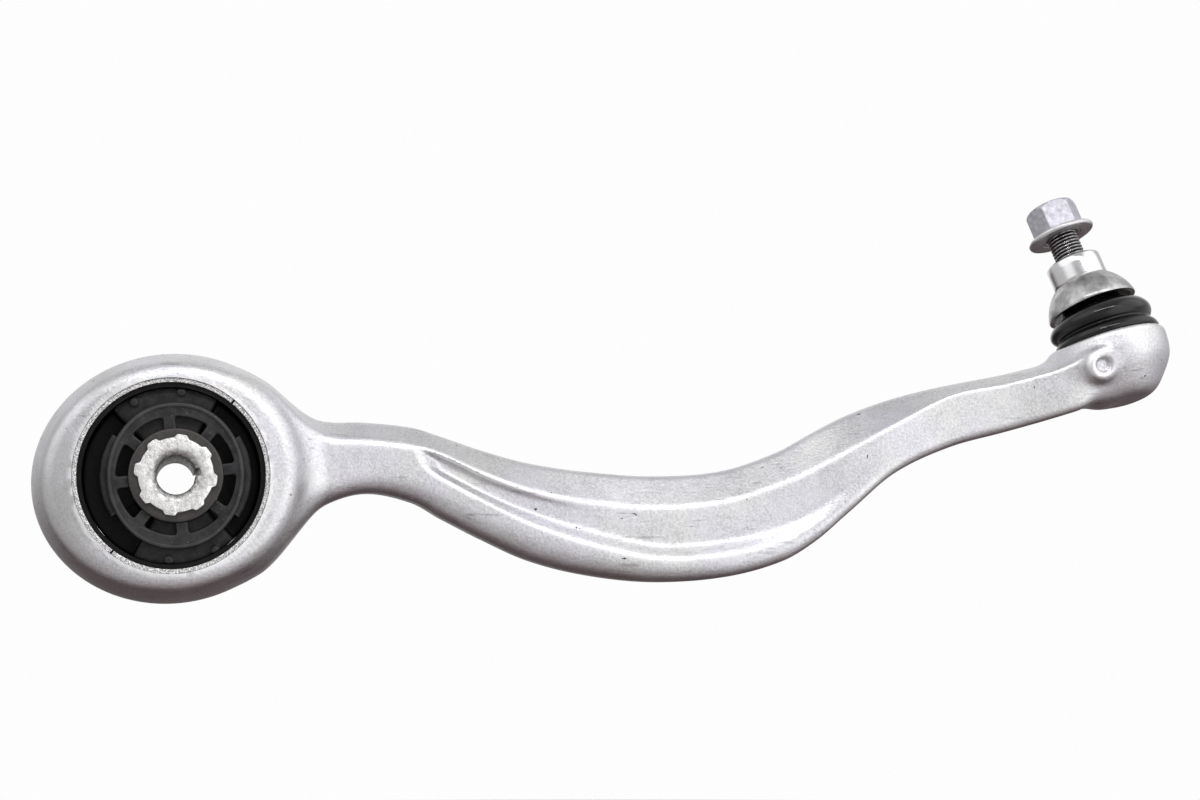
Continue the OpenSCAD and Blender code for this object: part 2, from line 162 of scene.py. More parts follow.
def rounded(corners, steps=5):
    """Closed outline through corners (x, y, radius), each corner eased by its radius."""
    outline = []
    for i, (x, y, radius) in enumerate(corners):
        here = np.array([x, y], float)
        if radius <= 0:
            outline.append(here)
            continue
        to_last = np.array(corners[i - 1][:2], float) - here
        to_next = np.array(corners[(i + 1) % len(corners)][:2], float) - here
        room = 0.49 * min(np.linalg.norm(to_last), np.linalg.norm(to_next))
        half = 0.5 * math.acos(np.clip(unit(to_last) @ unit(to_next), -1, 1))
        reach = min(room, radius / math.tan(half))
        a, b = here + unit(to_last) * reach, here + unit(to_next) * reach
        for t in np.linspace(0, 1, steps):
            outline.append((1 - t) ** 2 * a + 2 * t * (1 - t) * here + t * t * b)
    return [tuple(p) for p in outline]


def arc(radius, centre_h, start, end, steps):
    """Points (radius, height) on a circle about the axis point at centre_h, at angles above the horizontal."""
    angles = np.radians(np.linspace(start, end, steps))
    return [(radius * math.cos(a), centre_h + radius * math.sin(a)) for a in angles]


def revolved(name, rows, place, span=None, count=96, closed=True, sharp=40):
    """A skin through rows of (radius, height) turned about the placed axis. A radius may be a function of the
    angle. A span in degrees makes a closed sector; an open run of rows is capped at both ends."""
    if span is None:
        angles = np.linspace(0, TURN, count, endpoint=False)
    else:
        angles = np.radians(np.linspace(span[0], span[1], count))
    n, m = len(angles), len(rows)
    grid = np.empty((m, n, 3))
    for i, (radius, height) in enumerate(rows):
        r = radius(angles) if callable(radius) else np.full(n, float(radius))
        grid[i] = np.stack([r * np.cos(angles), r * np.sin(angles), np.full(n, float(height))], 1)
    faces = []
    wrap = n if span is None else n - 1
    for i in range(m if closed else m - 1):
        k = (i + 1) % m
        for j in range(wrap):
            l = (j + 1) % n
            faces.append((i * n + j, i * n + l, k * n + l, k * n + j))
    if not closed:
        faces.append(tuple(range(n)))
        faces.append(tuple(range((m - 1) * n, m * n))[::-1])
    if span is not None:
        faces.append(tuple(i * n for i in range(m)))
        faces.append(tuple(i * n + n - 1 for i in range(m))[::-1])
    return mesh_object(name, placed(grid.reshape(-1, 3), place), faces, sharp)


# ---------------------------------------------------------------- solids as fields, negative inside

def smooth_min(a, b, k):
    h = np.clip(0.5 + 0.5 * (b - a) / k, 0, 1)
    return b + (a - b) * h - k * h * (1 - h)


def smooth_max(a, b, k):
    return -smooth_min(-a, -b, k)


def smooth_step(low, high, v):
    t = np.clip((v - low) / (high - low), 0, 1)
    return t * t * (3 - 2 * t)


def curve(knots, values, x):
    """Smooth curve through the values at the knots, read at x."""
    knots, values = np.asarray(knots, float), np.asarray(values, float)
    place = np.arange(len(knots))
    after, before = np.minimum(place + 1, len(knots) - 1), np.maximum(place - 1, 0)
    slopes = (values[after] - values[before]) / (knots[after] - knots[before])
    i = np.clip(np.searchsorted(knots, x, side="right") - 1, 0, len(knots) - 2)
    w = knots[i + 1] - knots[i]
    t = np.clip((x - knots[i]) / w, 0, 1)
    return (
        (2 * t ** 3 - 3 * t ** 2 + 1) * values[i]
        + (t ** 3 - 2 * t ** 2 + t) * w * slopes[i]
        + (3 * t ** 2 - 2 * t ** 3) * values[i + 1]
        + (t ** 3 - t ** 2) * w * slopes[i + 1]
    )


def field_slope(field, points, nudge):
    return np.stack([
        (field(*(points + nudge * d).T) - field(*(points - nudge * d).T)) / (2 * nudge) for d in np.eye(3)
    ], 1)


def snapped(points, a, b, step):
    """Moves the points near the edge where the surfaces of fields a and b meet onto that edge."""
    near = (np.abs(a(*points.T)) < 0.7 * step) & (np.abs(b(*points.T)) < 0.7 * step)
    edge = points[near]
    for _ in range(4):
        value = np.stack([a(*edge.T), b(*edge.T)], 1)
        slope = np.stack([field_slope(f, edge, 0.1 * step) for f in (a, b)], 1)
        square = slope @ slope.transpose(0, 2, 1) + 1e-6 * np.eye(2)
        edge = edge - (slope.transpose(0, 2, 1) @ np.linalg.solve(square, value[..., None]))[..., 0]
    points[near] = edge
    return points


def field_surface(field, low, high, step, edge=None):
    """Points and quads on the zero surface of a field, one point for each grid cell that the surface crosses,
    moved onto the surface itself. An edge is a pair of fields whose surfaces meet in a crisp line."""
    low = np.array(low, float)
    count = np.ceil((np.array(high, float) - low) / step).astype(int) + 1
    xs, ys, zs = (low[i] + step * np.arange(count[i]) for i in range(3))
    grid = np.empty(count)
    for start in range(0, len(xs), 16):
        x, y, z = np.meshgrid(xs[start:start + 16], ys, zs, indexing="ij")
        grid[start:start + 16] = field(x, y, z)
    inside = grid < 0
    corners = [(i, j, k) for i in (0, 1) for j in (0, 1) for k in (0, 1)]

    def shifted(a, c):
        return a[c[0]:a.shape[0] - 1 + c[0], c[1]:a.shape[1] - 1 + c[1], c[2]:a.shape[2] - 1 + c[2]]

    filled = sum(shifted(inside, c).astype(np.int8) for c in corners)
    active = (filled > 0) & (filled < 8)
    cells = np.argwhere(active)
    number = np.full(active.shape, -1)
    number[active] = np.arange(len(cells))
    values = np.stack([grid[cells[:, 0] + i, cells[:, 1] + j, cells[:, 2] + k] for i, j, k in corners], 1)
    total, crossings = np.zeros((len(cells), 3)), np.zeros(len(cells))
    for a, ca in enumerate(corners):
        for b, cb in enumerate(corners):
            if b > a and sum(abs(p - q) for p, q in zip(ca, cb)) == 1:
                cut = (values[:, a] < 0) != (values[:, b] < 0)
                gap = np.where(cut, values[:, a] - values[:, b], 1)
                t = np.where(cut, values[:, a] / gap, 0)
                total += cut[:, None] * (np.array(ca) + t[:, None] * (np.array(cb) - np.array(ca)))
                crossings += cut
    points = low + (cells + total / crossings[:, None]) * step
    quads = []
    for axis in range(3):
        u, v = (axis + 1) % 3, (axis + 2) % 3
        one = np.take(inside, range(count[axis] - 1), axis)
        two = np.take(inside, range(1, count[axis]), axis)
        e = np.argwhere(one != two)
        e = e[(e[:, u] > 0) & (e[:, u] < count[u] - 1) & (e[:, v] > 0) & (e[:, v] < count[v] - 1)]
        du, dv = np.eye(3, dtype=int)[u], np.eye(3, dtype=int)[v]
        ring = [number[tuple((e - o).T)] for o in (du + dv, dv, 0 * du, du)]
        quad = np.stack(ring, 1)
        outward = one[tuple(e.T)]
        quad[~outward] = quad[~outward][:, ::-1]
        quads.append(quad)
    rest, nudge = points.copy(), 0.1 * step
    for _ in range(4):
        value = field(*points.T)
        slope = field_slope(field, points, nudge)
        move = -(value / np.maximum((slope ** 2).sum(1), 1e-6))[:, None] * slope
        length = np.linalg.norm(move, axis=1, keepdims=True)
        points += move * np.minimum(1, 0.5 * step / np.maximum(length, 1e-9))
    stray = points - rest
    length = np.linalg.norm(stray, axis=1, keepdims=True)
    points = rest + stray * np.minimum(1, 0.9 * step / np.maximum(length, 1e-9))
    if edge:
        points = snapped(points, *edge, step)
    return points, np.concatenate(quads)


def field_object(name, field, low, high, step, edge=None, sharp=60):
    return mesh_object(name, *field_surface(field, low, high, step, edge), sharp)


# ---------------------------------------------------------------- the forging

def eye_field(x, y, z):
    """The eye's oval drum: drafted sides, slightly dished faces and rounded rims."""
    c, s = math.cos(EYE_TILT), math.sin(EYE_TILT)
    across, up = (x - PRELOAD_X) * c + z * s, z * c - (x - PRELOAD_X) * s
    shrink = EYE_DRAFT * (np.abs(y) / (EYE_HALF - 2)) ** 1.37
    a, b = EYE_RX - shrink, EYE_RZ - shrink
    g = np.sqrt((across / a) ** 2 + (up / b) ** 2) + 1e-6
    side = g * (g - 1) / np.sqrt((across / a ** 2) ** 2 + (up / b ** 2) ** 2 + 1e-9)
    ring = np.hypot(x - PRELOAD_X, z)
    face = np.abs(y) - EYE_HALF + 0.085 * np.maximum(ring - BORE_R - 0.6, 0)
    return smooth_max(side, face, 5.5)


def bore_field(x, y, z):
    """Positive inside the eye's bore, so that the body is its complement."""
    return BORE_R - np.hypot(x - PRELOAD_X, z)


FINE_X = np.arange(20, 420, 0.25)
FINE_STATIONS = [curve(STATIONS[:, 0], STATIONS[:, c], FINE_X) for c in range(STATIONS.shape[1])]
RECESS_TIP, RECESS_TIP_END, TIP_SLANT = 101.0, 111.0, 0.45
CREASE_SINKS = (105, 190)   # where the crease sinks from the full width down to the panel
PANEL_EDGE = 0.12           # share of the face over which the panel falls away under the crease
FINE_STATIONS[5] = np.maximum(FINE_STATIONS[5], 0)


def station(column, x):
    return np.interp(x, FINE_X, FINE_STATIONS[column])


def beam_field(x, y, z):
    """The swan-necked beam: two sloped top flanks, a recess in each face and a rounded lower rib."""
    top, bottom, flank = station(1, x), station(2, x), station(3, x)
    half, wall_start, wall_end = station(4, x), station(6, x), station(7, x)
    crease = top - flank
    face = crease - bottom
    t = (crease - z) / face
    past_tip = smooth_step(RECESS_TIP, RECESS_TIP_END, x + TIP_SLANT * (z - 8))
    full = np.interp(x, [100, 128, 150], [3.4, 4.2, 4.4])
    depth = np.where(x < 150, full * past_tip, station(5, x))
    sunk = station(5, x) * smooth_step(*CREASE_SINKS, x)
    wall = smooth_step(wall_start - 0.06, wall_end, t)
    inset = sunk + (depth - sunk) * smooth_step(0, PANEL_EDGE, t)
    side = np.abs(y) - (half - inset * (1 - wall))
    side = side / np.sqrt(1 + (1.2 * depth * (wall > 0) * (wall < 1) / (0.35 * face)) ** 2)
    slope = (flank - 0.4) / (half - sunk - 2.5)
    slant = (z - (top - 0.4 - slope * (np.abs(y) - 2.5))) / np.sqrt(1 + slope ** 2)
    ridge = smooth_max(slant, z - top, 2)
    crease_round = np.interp(x, [60, 120, 200], [3.2, 1.8, 1.2])
    edge = np.minimum(np.interp(x, [175, 235, 300], [12, 8, 6]), 0.42 * face)
    section = smooth_max(smooth_max(side, ridge, crease_round), bottom - z, edge)
    return smooth_max(np.maximum(section, 30 - x), x - 405, 14)


HOUSING_H = [-25, -23, -14, -9, -5, -1, 2, 6]
HOUSING_R = [12.4, 14, 21.2, 24.2, 25.2, 25.5, 25.5, 25.3]
SHOULDER_Z, SPIGOT_R, SPIGOT_TOP = 3.8, 19.7, 9.7
CAVITY_R, CAVITY_FLOOR, RING_SEAT_Z, RING_SEAT_R = 16.5, -15.0, 7.4, 18.1
BOSS_AT, BOSS_R, BOSS_YAW = np.array([400.9, -24.7, 51.6]), 7.0, math.radians(8)


def socket_coordinates(x, y, z):
    """Distance from the socket's axis and height along it."""
    turn = SOCKET[1]
    u, v, w = x - BALL[0], y - BALL[1], z - BALL[2]
    h = u * turn[0, 2] + v * turn[1, 2] + w * turn[2, 2]
    return np.sqrt(np.maximum(u * u + v * v + w * w - h * h, 0)), h


def housing_field(r, h):
    wall = (r - curve(HOUSING_H, HOUSING_R, h)) * 0.9
    body = smooth_max(smooth_max(wall, h - SHOULDER_Z, 2.5), -24 - h, 5)
    spigot = np.maximum(r - SPIGOT_R, np.abs(h - 3) - SPIGOT_TOP + 3)
    return np.minimum(body, spigot)


def boss_coordinates(x, y, z):
    """Distance from the side boss's axis and depth behind its rim."""
    inward = np.array([-math.sin(BOSS_YAW), math.cos(BOSS_YAW), 0])
    u, v, w = x - BOSS_AT[0], y - BOSS_AT[1], z - BOSS_AT[2]
    depth = u * inward[0] + v * inward[1]
    return np.sqrt(np.maximum(u * u + v * v + w * w - depth * depth, 0)), depth


def forging_field(x, y, z):
    r, h = socket_coordinates(x, y, z)
    body = smooth_min(eye_field(x, y, z), beam_field(x, y, z), 10)
    body = smooth_min(body, housing_field(r, h), 11)
    across, depth = boss_coordinates(x, y, z)
    boss = np.maximum(smooth_max(across - BOSS_R, -depth, 3.6), depth - 12)
    body = smooth_min(body, boss, 3.2)
    crater = np.maximum(across - 3.5 + 0.5 * depth, depth - 1.7)
    body = smooth_max(body, -crater, 1.4)
    pip = np.sqrt(across ** 2 + (depth - 2.1) ** 2) - 1.1
    body = smooth_min(body, pip, 0.8)
    body = np.maximum(body, bore_field(x, y, z))
    cavity = np.maximum(r - CAVITY_R, CAVITY_FLOOR - h)
    body = np.maximum(body, -cavity)
    return np.maximum(body, -np.maximum(r - RING_SEAT_R, RING_SEAT_Z - h))


# ---------------------------------------------------------------- the bush

def lobed(angles, margin=0.0):
    """The sleeve's cast outline, with eight lobes, as a radius at each angle."""
    radius = np.full(len(angles), SLEEVE_R + margin)
    for i in range(8):
        off = (angles - LOBE_START - i * TURN / 8 + math.pi) % TURN - math.pi
        side = np.abs(np.sin(off)) * LOBE_R
        rise = smooth_step(LOBE_W / 2 + margin + 1.0, LOBE_W / 2 + margin - 0.8, side) * (np.cos(off) > 0)
        radius = radius + (LOBE_R - SLEEVE_R + 0.2 * math.sin(5.1 * i)) * rise
    return radius


def keyed_bore(angles, margin=0.0):
    """The sleeve's bore with its half-round keyway, as a radius at each angle."""
    off = (angles - KEYWAY_ANGLE + math.pi) % TURN - math.pi
    reach = KEYWAY_R ** 2 - (KEYWAY_AT * np.sin(off)) ** 2
    far_side = KEYWAY_AT * np.cos(off) + np.sqrt(np.maximum(reach, 0))
    key = np.where((reach > 0) & (np.cos(off) > 0), far_side, 0)
    return np.maximum(SLEEVE_BORE_R + margin, key)


def inner_sleeve():
    rows = []
    for side in (1, -1):
        face = side * SLEEVE_HALF
        ring = [
            (lambda a: keyed_bore(a), face - side * 2.2),
            (lambda a: keyed_bore(a, 0.5), face - side * 1.2),
            (lambda a: keyed_bore(a, 2.2), face - side * 0.25),
            (lambda a: keyed_bore(a, 2.9), face),
            (lambda a: lobed(a, -0.6), face),
            (lambda a: lobed(a, -0.15), face - side * 0.15),
            (lambda a: lobed(a), face - side * 0.6),
        ]
        rows += ring if side > 0 else ring[::-1]
    return revolved("bush_sleeve", rows, ON_SLEEVE, count=540, sharp=50)


def hub_ring():
    rows = []
    for side in (1, -1):
        face = side * HUB_HALF
        ring = [
            (lambda a: lobed(a, 0.05), face - side * 0.1),
            (lambda a: lobed(a, 0.2), face),
            (HUB_R - 1.1, face),
            (HUB_R - 0.4, face - side * 0.2),
            (HUB_R, face - side * 0.8),
        ]
        rows += ring if side > 0 else ring[::-1]
    return revolved("bush_hub", rows, ON_SLEEVE, count=360, sharp=50)


def window_disc_field(x, y, z):
    """A moulded disc with eight windows, a raised rim and flattened sides."""
    r = np.hypot(x, z)
    shift = DISC_FLAT_R - DISC_RX
    sides = smooth_max(np.hypot(x - shift, z) - DISC_FLAT_R, np.hypot(x + shift, z) - DISC_FLAT_R, 1)
    outline = smooth_max(r - DISC_R, sides, 2)
    spoke = np.full(np.shape(r), 99.0)
    for i in range(4):
        a = SPOKE_START + i * TURN / 8
        spoke = np.minimum(spoke, np.abs(x * math.sin(a) - z * math.cos(a)) - SPOKE_W / 2)
    window = smooth_max(smooth_max(r - WINDOW_OUT, WINDOW_IN - r, 0.6), -spoke, 1.8)
    rim = smooth_step(-2.4, -1.5, outline) * (1 - smooth_step(-0.6, 0.4, outline))
    thick = np.abs(np.abs(y) - DISC_Y) - DISC_T / 2 - 0.7 * rim
    body = smooth_max(smooth_max(outline, thick, 1.2), HUB_R + 0.05 - r, 0.6)
    return smooth_max(body, -window, 1.0)


def rubber_field(x, y, z):
    """The rubber spring: an upper and a lower leg with moulded knobs, and a thin wall near each end."""
    r, rim = np.hypot(x, z), np.hypot(x - PRELOAD_X, z) - RUBBER_R
    depth = np.abs(y)
    body = np.abs(depth - MEMBRANE_Y) - MEMBRANE_T / 2
    face = depth - RUBBER_HALF + LEG_DISHING * (r - LEG_DISHED_FROM) ** 2 * (r > LEG_DISHED_FROM)
    for start, end in LEG_SPANS:
        a, b = math.radians(start), math.radians(end)
        past_start = math.cos(a) * z - math.sin(a) * x
        before_end = math.sin(b) * x - math.cos(b) * z
        leg = smooth_max(smooth_max(-past_start, -before_end, 5), face, 2.5)
        body = smooth_min(body, leg, 2)
    for angle in KNOBS:
        a = math.radians(angle)
        across = np.hypot(x - KNOB_AT * math.cos(a), z - KNOB_AT * math.sin(a))
        knob = smooth_max(across - KNOB_R, depth - RUBBER_HALF - 1.2, 1.6)
        body = smooth_min(body, knob, 0.7)
    return smooth_max(smooth_max(body, rim, 1), HUB_R + 0.05 - r, 0.6)


def half_shell(name, span):
    rows = rounded([
        (SHELL_OUT, SHELL_HALF, 0.35), (SHELL_OUT, -SHELL_HALF, 0.35),
        (SHELL_IN, -SHELL_HALF, 0.35), (SHELL_IN, SHELL_HALF, 0.35),
    ], 3)
    return revolved(name, rows, ON_EYE, span=span, count=150)


def bumper(name, middle, side):
    """One rubber block on the hub, in front of the chamber wall (side 1) or behind it (side -1)."""
    outer, inner = side * BUMPER_HALF, side * (BUMPER_HALF - BUMPER_T)
    web = inner + side * BUMPER_WEB_T
    rows = rounded([
        (BUMPER_R, outer, 2.2), (BUMPER_R, inner, 2.2), (HUB_R + 0.05, inner, 0), (HUB_R + 0.05, web, 0),
        (BUMPER_PAD_R, web, 1), (BUMPER_PAD_R, outer, 1.6),
    ])
    return revolved(name, rows, ON_SLEEVE, count=40,
                    span=(middle - BUMPER_SPREAD, middle + BUMPER_SPREAD))


# ---------------------------------------------------------------- the ball joint

def threaded(phase):
    """Radius of the thread at a height, one turn for each pitch."""
    def radius(angles):
        t = (phase - angles / TURN) % 1
        ramp = np.clip(1.35 * np.abs(2 * t - 1) - 0.18, 0, 1)
        return THREAD_R - 0.05 - THREAD_DEPTH * (1 - ramp)
    return radius


def hexagon(apothem, turn=0.0):
    """Radius of a hexagon at each angle."""
    def radius(angles):
        return apothem / np.cos((angles - turn) % (TURN / 6) - TURN / 12)
    return radius


def within(outline, limit):
    """An outline cut off at a limiting radius, as by a chamfer."""
    return lambda angles: np.minimum(outline(angles), limit)


def ball_stud():
    seat_h = SHANK_TOP - SHANK_L
    top = SHANK_TOP + THREAD_L
    rows = arc(BALL_R, 0, -78, 53, 28)
    rows += rounded([(8, 12.5, 1.5), (8, 17, 1), (9, 19.5, 1), (9, 26.5, 1), (COLLAR_SEAT_R, 32, 1)])
    rows += [(COLLAR_SEAT_R, seat_h - 0.1), (SHANK_R - 0.3, seat_h - 0.1), (SHANK_R, seat_h + 0.2)]
    rows += [(SHANK_R, h) for h in np.linspace(seat_h + 1, SHANK_TOP - 1.0, 4)]
    rows += [(SHANK_R - 0.25, SHANK_TOP - 0.45), (SHANK_R - 0.8, SHANK_TOP), (THREAD_R + 0.4, SHANK_TOP)]
    rows += [(THREAD_R - 0.5, SHANK_TOP + 0.05), (THREAD_R - 0.75, SHANK_TOP + 0.3)]
    for h in np.arange(SHANK_TOP + 0.6, top - 0.05, THREAD_PITCH / 12):
        start = smooth_step(SHANK_TOP + 0.4, SHANK_TOP + 1.6, h)
        end = THREAD_R - max(0.0, h - (top - 1.2))
        whole = threaded((h - SHANK_TOP) / THREAD_PITCH)
        rows.append((
            lambda a, w=whole, s=start, e=end: np.minimum((1 - s) * (THREAD_R - 0.75) + s * w(a), e), h
        ))
    rows += [(THREAD_R - 1.3, top), (4.3, top), (within(hexagon(3.5), 3.95), top - 0.3)]
    rows += [(hexagon(3.5), top - 0.8), (hexagon(3.5), top - 5), (hexagon(0.6), top - 5.8)]
    return revolved("stud", rows, STUD, count=120, closed=False, sharp=45)


def dome_collar():
    """A hollow domed collar pressed on under the shank."""
    rim_h = SHANK_TOP - SHANK_L - COLLAR_H
    top_h = rim_h + COLLAR_H
    drop = (COLLAR_R ** 2 - COLLAR_H ** 2 - SHANK_R ** 2) / (2 * COLLAR_H)
    centre, outer = rim_h - drop, math.hypot(COLLAR_R, drop)
    inner = outer - COLLAR_T
    low_out = math.degrees(math.asin((drop + 0.9) / outer))
    high_out = math.degrees(math.acos(SHANK_R / outer))
    low_in = math.degrees(math.asin((drop + 0.6) / inner))
    high_in = math.degrees(math.acos((COLLAR_SEAT_R + 1) / inner))
    rows = arc(outer, centre, low_out, high_out - 0.5, 22)
    rows += [(SHANK_R - 0.2, top_h - 0.02), (COLLAR_SEAT_R + 0.05, top_h - 0.02)]
    rows += [(COLLAR_SEAT_R + 0.05, centre + inner * math.sin(math.radians(high_in)))]
    rows += arc(inner, centre, high_in, low_in, 18)
    rows += [(inner * math.cos(math.radians(low_in)) + 0.3, rim_h + 0.1)]
    rows += [(COLLAR_R - 1.0, rim_h), (COLLAR_R - 0.3, rim_h + 0.15)]
    return revolved("dome_shield", rows, STUD, count=128)


def flange_washer():
    hole, top = NUT_COLLAR_R + 0.08, NUT_BASE + WASHER_H
    rows = rounded([
        (hole, NUT_BASE, 0.2), (WASHER_R - 0.5, NUT_BASE, 0.9), (WASHER_R, NUT_BASE + 1.1, 0.8),
        (WASHER_R - 0.5, NUT_BASE + 2.1, 0.8), (WASHER_FACE_R, top, 1.5), (hole, top, 0.2),
    ])
    return revolved("nut_flange", rows, STUD, count=96)


def flange_nut():
    corner = NUT_AF / 2 / math.cos(math.pi / 6)
    low, high = NUT_BASE + WASHER_H + 0.05, NUT_BASE + WASHER_H + 0.05 + NUT_H
    shape = hexagon(NUT_AF / 2 - 0.05, NUT_TURN)
    rows = [(NUT_COLLAR_R, low - 2.3), (NUT_COLLAR_R, low)]
    rows += [(within(shape, corner - 0.9), low), (within(shape, corner - 0.35), low + 0.35)]
    rows += [(within(shape, corner - 0.15), low + 0.8)]
    rows += [(within(shape, corner - 0.15), h) for h in np.linspace(low + 2, high - 4.6, 4)]
    for t in np.linspace(0, 1, 9):  # the shoulders are domed
        rows.append((within(shape, corner - 0.15 - 2.6 * t ** 2.2), high - 3.6 * (1 - t) ** 1.2))
    rows += [(THREAD_R + 1.5, high), (THREAD_R + 1.1, high - 0.1), (THREAD_R + 0.1, high - 1.2)]
    rows += [(THREAD_R + 0.1, low - 1.5), (THREAD_R + 1.0, low - 2.3)]
    return revolved("nut", rows, STUD, count=180, sharp=25)


# The boot's wall as radius, height and lean, up the outside and down the inside. The lean says how far a ring
# has turned from the socket's axis (0) to the stud's (1). The cuff is wider at its foot than part.scad's, so
# that the slide ring swings clear of it.
BOOT = [
    (23.3, 4.1, 0), (23.75, 5.4, 0), (23.15, 7.2, 0.05),
    (21.6, 8.6, 0.15), (21.2, 9.4, 0.22), (22.15, 10.4, 0.3),
    (23.15, 11.9, 0.42), (23.4, 13.6, 0.55), (22.75, 15.4, 0.68), (21.1, 17.2, 0.82), (18.4, 18.3, 0.93),
    (17.0, 19.2, 1), (14.0, 21.3, 1), (13.0, 25, 1), (10.75, 25, 1), (11.5, 21.2, 1),
    (16.3, 18.0, 1), (18.2, 17.0, 0.95), (19.7, 15.9, 0.85), (21.0, 14.7, 0.68), (21.5, 13.4, 0.55),
    (21.2, 12, 0.42), (20.5, 11, 0.3), (20.2, 10.3, 0.2), (20.2, 8.6, 0.05), (20.95, 8, 0), (20.95, 4.1, 0),
]
CUFF_FOOT, CUFF_END = 11, 16  # the cuff's run in the list: its foot outside, and the end of its inside


def boot_outline(points, fine=6):
    """The boot's points with a smooth curve through them."""
    p = np.array(points, float)
    dense = np.linspace(0, len(p) - 1, (len(p) - 1) * fine + 1)
    return np.stack([curve(np.arange(len(p)), p[:, c], dense) for c in range(3)], 1)


def boot_skin(name, outline, count=112):
    """A closed skin of rings, each leaning between the socket's axis and the stud's."""
    angles = np.linspace(0, TURN, count, endpoint=False)
    rings = []
    for radius, height, lean in outline:
        w = unit((1 - lean) * unit(SOCKET_AXIS) + lean * unit(STUD_AXIS))
        u = unit(np.cross([0, 1, 0], w))
        v = np.cross(w, u)
        rings.append(BALL + radius * (np.outer(np.cos(angles), u) + np.outer(np.sin(angles), v)) + height * w)
    m = len(rings)
    faces = []
    for i in range(m):
        here, up = i * count, (i + 1) % m * count
        for j in range(count):
            k = (j + 1) % count
            faces.append((here + j, here + k, up + k, up + j))
    return mesh_object(name, np.concatenate(rings), faces, 70)


def dust_boot():
    """The bellows and, apart from it, the cuff under the dome, as two closed skins."""
    bellows = boot_outline(BOOT[:CUFF_FOOT + 1])
    inside = boot_outline(BOOT[CUFF_END:])
    cuff = boot_outline(BOOT[CUFF_FOOT:CUFF_END + 1])
    return boot_skin("boot_bellows", np.concatenate([bellows, inside])), boot_skin("boot_cuff", cuff)


# ---------------------------------------------------------------- materials

class Finish:
    """A procedural material, with short ways to add the nodes that it is made of."""

    def __init__(self, name, **sockets):
        self.material = bpy.data.materials.new(name)
        self.material.use_nodes = True
        self.tree = self.material.node_tree
        self.shader = self.tree.nodes["Principled BSDF"]
        self.place = self.add("ShaderNodeTexCoord").outputs["Object"]
        for socket, value in sockets.items():
            self.shader.inputs[socket.replace("_", " ")].default_value = value

    def add(self, kind, **settings):
        node = self.tree.nodes.new(kind)
        for key, value in settings.items():
            setattr(node, key, value)
        return node

    def link(self, source, target):
        self.tree.links.new(source, target)

    def noise(self, size, detail=3.0, stretch=None, rough=0.55, distortion=0.0):
        """Noise whose features are about `size` millimetres across."""
        node = self.add("ShaderNodeTexNoise")
        node.inputs["Scale"].default_value = 1 / (size * MM)
        node.inputs["Detail"].default_value = detail
        node.inputs["Roughness"].default_value = rough
        node.inputs["Distortion"].default_value = distortion
        place = self.place
        if stretch:
            mapping = self.add("ShaderNodeMapping")
            mapping.inputs["Scale"].default_value = stretch[0]
            mapping.inputs["Rotation"].default_value = stretch[1]
            self.link(place, mapping.inputs["Vector"])
            place = mapping.outputs["Vector"]
        self.link(place, node.inputs["Vector"])
        return node.outputs["Fac"]

    def cells(self, size):
        node = self.add("ShaderNodeTexVoronoi")
        node.inputs["Scale"].default_value = 1 / (size * MM)
        self.link(self.place, node.inputs["Vector"])
        return node.outputs["Distance"]

    def pointiness(self):
        """How sharply the surface bends: over 0.5 on an outer edge."""
        return self.add("ShaderNodeNewGeometry").outputs["Pointiness"]

    def ranged(self, value, low, high, to_low=0.0, to_high=1.0):
        node = self.add("ShaderNodeMapRange")
        for key, v in (("From Min", low), ("From Max", high), ("To Min", to_low), ("To Max", to_high)):
            node.inputs[key].default_value = v
        self.link(value, node.inputs["Value"])
        return node.outputs["Result"]

    def math(self, operation, a, b):
        node = self.add("ShaderNodeMath", operation=operation)
        for socket, v in zip(node.inputs, (a, b)):
            if isinstance(v, (int, float)):
                socket.default_value = v
            else:
                self.link(v, socket)
        return node.outputs[0]

    def mixed(self, factor, a, b):
        """Colour a where the factor is 0 and b where it is 1; each is a colour or a socket."""
        node = self.add("ShaderNodeMix", data_type="RGBA")
        self.link(factor, node.inputs[0])
        for socket, v in ((node.inputs[6], a), (node.inputs[7], b)):
            if isinstance(v, tuple):
                socket.default_value = (*v, 1)
            else:
                self.link(v, socket)
        return node.outputs[2]

    def vector(self, operation, a, b):
        node = self.add("ShaderNodeVectorMath", operation=operation)
        self.link(a, node.inputs[0])
        node.inputs[1].default_value = tuple(float(v) for v in b)
        return node.outputs["Value" if operation in ("DOT_PRODUCT", "LENGTH") else "Vector"]

    def about(self, origin, axis):
        """Height along an axis through the origin, and the distance from it, in metres."""
        away = self.vector("SUBTRACT", self.place, origin * MM)
        height = self.vector("DOT_PRODUCT", away, unit(axis))
        length = self.vector("LENGTH", away, (0, 0, 0))
        square = self.math("SUBTRACT", self.math("POWER", length, 2.0), self.math("MULTIPLY", height, height))
        return height, self.math("POWER", self.math("MAXIMUM", square, 0.0), 0.5)

    def color(self, socket):
        self.link(socket, self.shader.inputs["Base Color"])

    def rough(self, socket):
        self.link(socket, self.shader.inputs["Roughness"])

    def bump(self, height, depth, below=None):
        """Relief whose full height is `depth` millimetres, laid over the relief below it."""
        node = self.add("ShaderNodeBump")
        node.inputs["Strength"].default_value = 1
        node.inputs["Distance"].default_value = depth * MM
        self.link(height, node.inputs["Height"])
        if below:
            self.link(below, node.inputs["Normal"])
        return node.outputs["Normal"]

    def relief(self, *layers):
        normal = None
        for height, depth in layers:
            normal = self.bump(height, depth, normal)
        self.link(normal, self.shader.inputs["Normal"])
        return self.material


